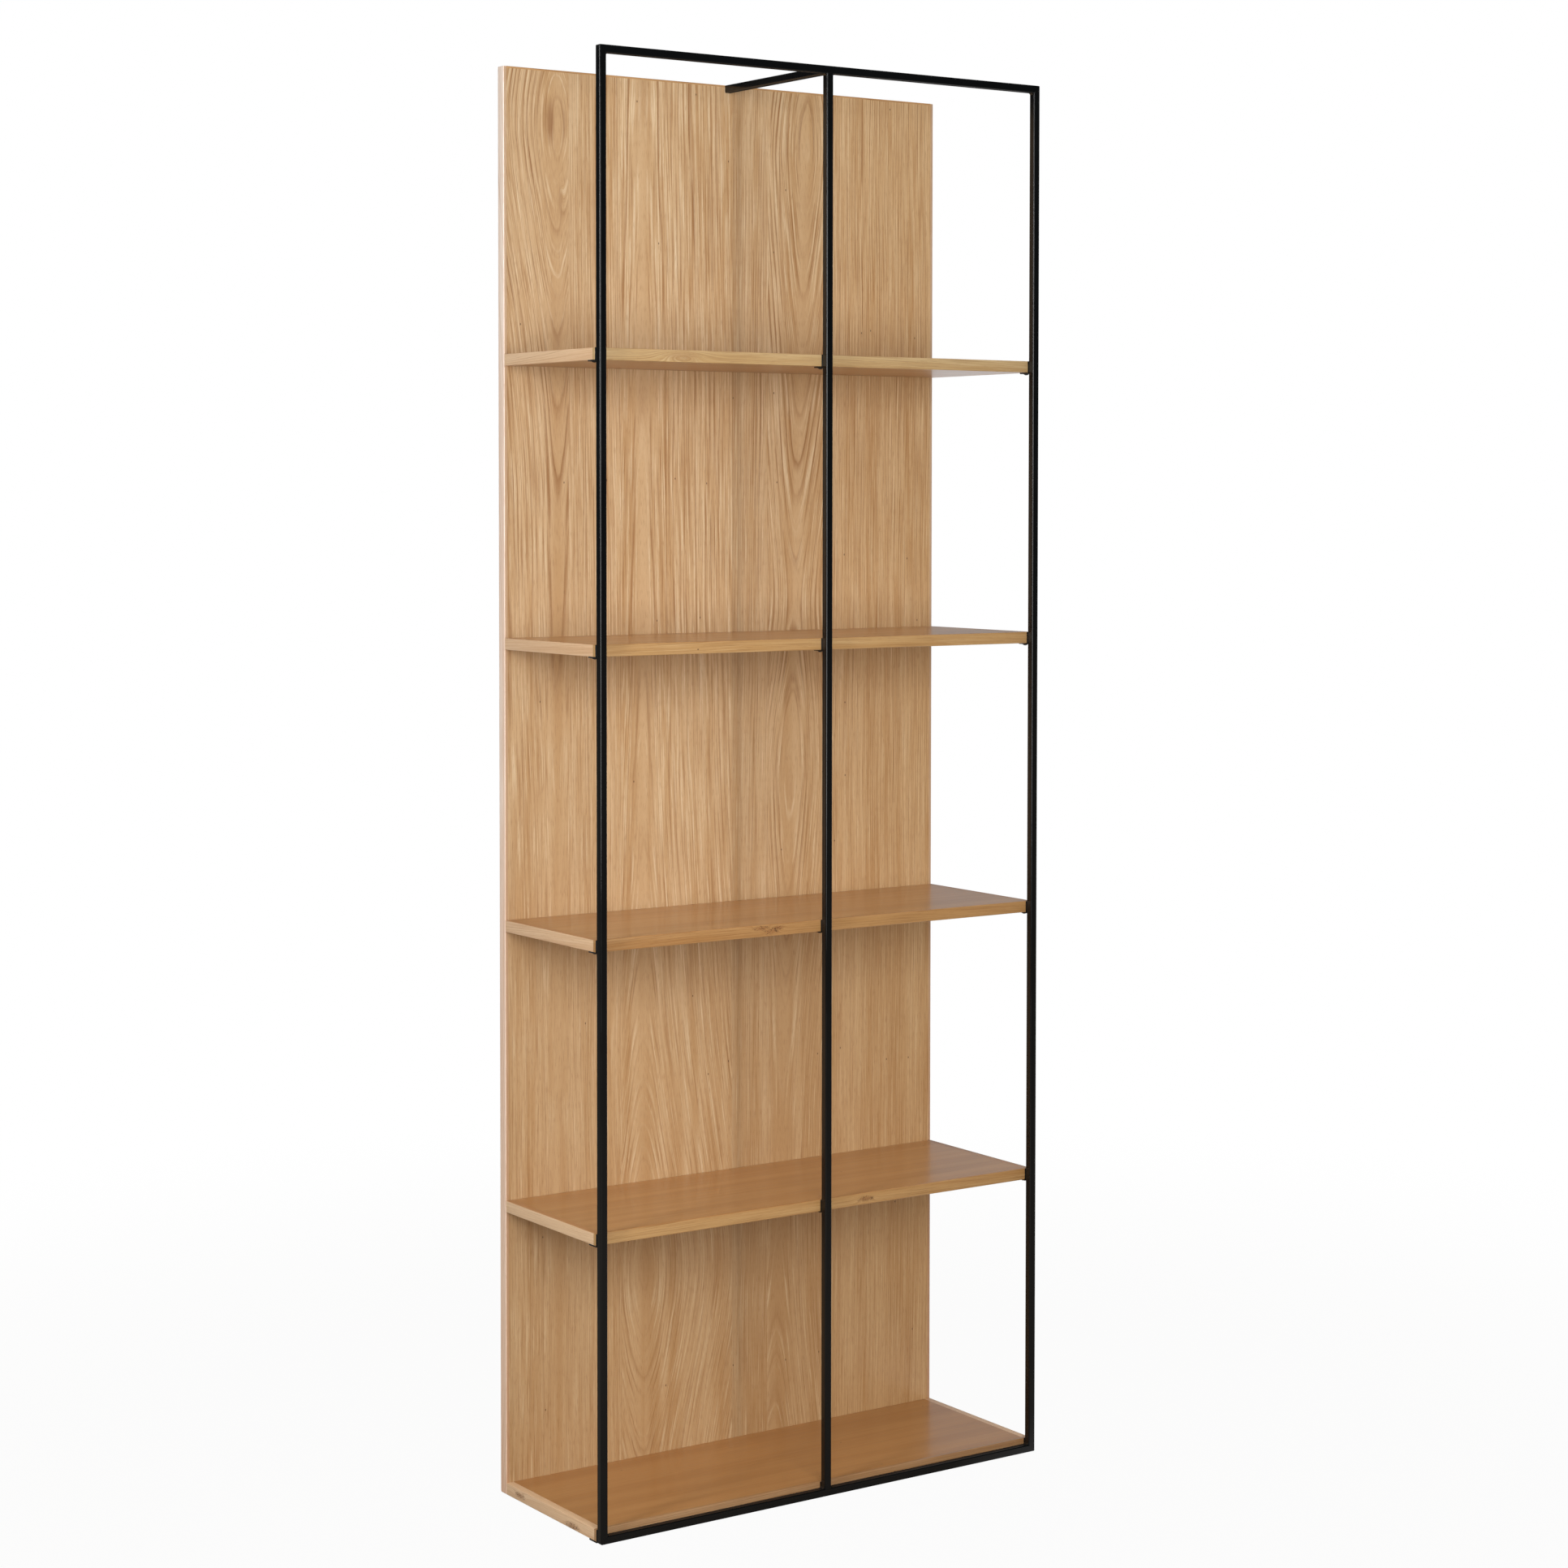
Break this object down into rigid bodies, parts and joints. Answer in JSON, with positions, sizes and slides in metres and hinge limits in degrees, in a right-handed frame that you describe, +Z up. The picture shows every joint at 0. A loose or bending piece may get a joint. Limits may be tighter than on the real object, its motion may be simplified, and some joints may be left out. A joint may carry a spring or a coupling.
{
  "type": "bookcase with adjustable shelves",
  "caption": "Tall open bookcase: oak back panel and base board, slender black square-tube front frame with a tie bar, and loose oak shelves that lift off bracket studs.",
  "frame": {"origin": "on the floor, in the middle of the bookcase's width and depth", "axes": "+X to the right seen from the front, +Y from the frame to the back panel, +Z up"},
  "size_m": [0.82, 0.3, 2.2],
  "materials": {
    "frame_powder_coat": "fine satin black powder coat",
    "stud_black_oxide": "black oxide, slightly oily sheen",
    "zinc_fixings": "bright zinc plate",
    "beech_dowel": "plain fluted beech",
    "nylon_glide": "matt dark nylon",
    "oak_veneer_panel": "upright oak veneer under a matt lacquer",
    "oak_panel_lipping": "solid oak lipping, matt lacquer",
    "oak_veneer_shelf": "lengthwise oak veneer under a satin lacquer",
    "oak_shelf_lipping": "solid oak lipping, satin lacquer"
  },
  "bodies": {
    "carcase": {"frame_left_post": "frame_powder_coat", "frame_centre_post": "frame_powder_coat", "frame_right_post": "frame_powder_coat", "frame_top_rail": "frame_powder_coat", "frame_bottom_rail": "frame_powder_coat", "frame_weld_fillets": "frame_powder_coat", "top_tie_bar": "frame_powder_coat", "tie_bar_end_plug": "frame_powder_coat", "tie_bar_screw": "zinc_fixings", "back_panel_core": "oak_veneer_panel", "back_panel_left_lipping": "oak_panel_lipping", "back_panel_right_lipping": "oak_panel_lipping", "back_panel_top_lipping": "oak_panel_lipping", "rear_floor_glides": "nylon_glide", "base_board_core": "oak_veneer_shelf", "base_board_front_lipping": "oak_shelf_lipping", "base_board_end_lippings": "oak_shelf_lipping", "base_board_brackets": "frame_powder_coat", "base_bracket_screws": "zinc_fixings", "base_panel_screws": "zinc_fixings", "base_panel_dowels": "beech_dowel", "shelf_1_brackets": "frame_powder_coat", "shelf_1_bracket_studs": "stud_black_oxide", "shelf_1_rear_pins": "zinc_fixings", "shelf_2_brackets": "frame_powder_coat", "shelf_2_bracket_studs": "stud_black_oxide", "shelf_2_rear_pins": "zinc_fixings", "shelf_3_brackets": "frame_powder_coat", "shelf_3_bracket_studs": "stud_black_oxide", "shelf_3_rear_pins": "zinc_fixings", "shelf_4_brackets": "frame_powder_coat", "shelf_4_bracket_studs": "stud_black_oxide", "shelf_4_rear_pins": "zinc_fixings"},
    "shelf_1": {"shelf_1_core": "oak_veneer_shelf", "shelf_1_front_lipping": "oak_shelf_lipping", "shelf_1_end_lippings": "oak_shelf_lipping"},
    "shelf_2": {"shelf_2_core": "oak_veneer_shelf", "shelf_2_front_lipping": "oak_shelf_lipping", "shelf_2_end_lippings": "oak_shelf_lipping"},
    "shelf_3": {"shelf_3_core": "oak_veneer_shelf", "shelf_3_front_lipping": "oak_shelf_lipping", "shelf_3_end_lippings": "oak_shelf_lipping"},
    "shelf_4": {"shelf_4_core": "oak_veneer_shelf", "shelf_4_front_lipping": "oak_shelf_lipping", "shelf_4_end_lippings": "oak_shelf_lipping"}
  },
  "joints": [
    {"name": "shelf_1_lift", "type": "slide", "parent": "carcase", "child": "shelf_1", "axis": [0, 0, 1], "range_m": [0, 0.4]},
    {"name": "shelf_2_lift", "type": "slide", "parent": "carcase", "child": "shelf_2", "axis": [0, 0, 1], "range_m": [0, 0.4]},
    {"name": "shelf_3_lift", "type": "slide", "parent": "carcase", "child": "shelf_3", "axis": [0, 0, 1], "range_m": [0, 0.4]},
    {"name": "shelf_4_lift", "type": "slide", "parent": "carcase", "child": "shelf_4", "axis": [0, 0, 1], "range_m": [0, 0.4]}
  ]
}
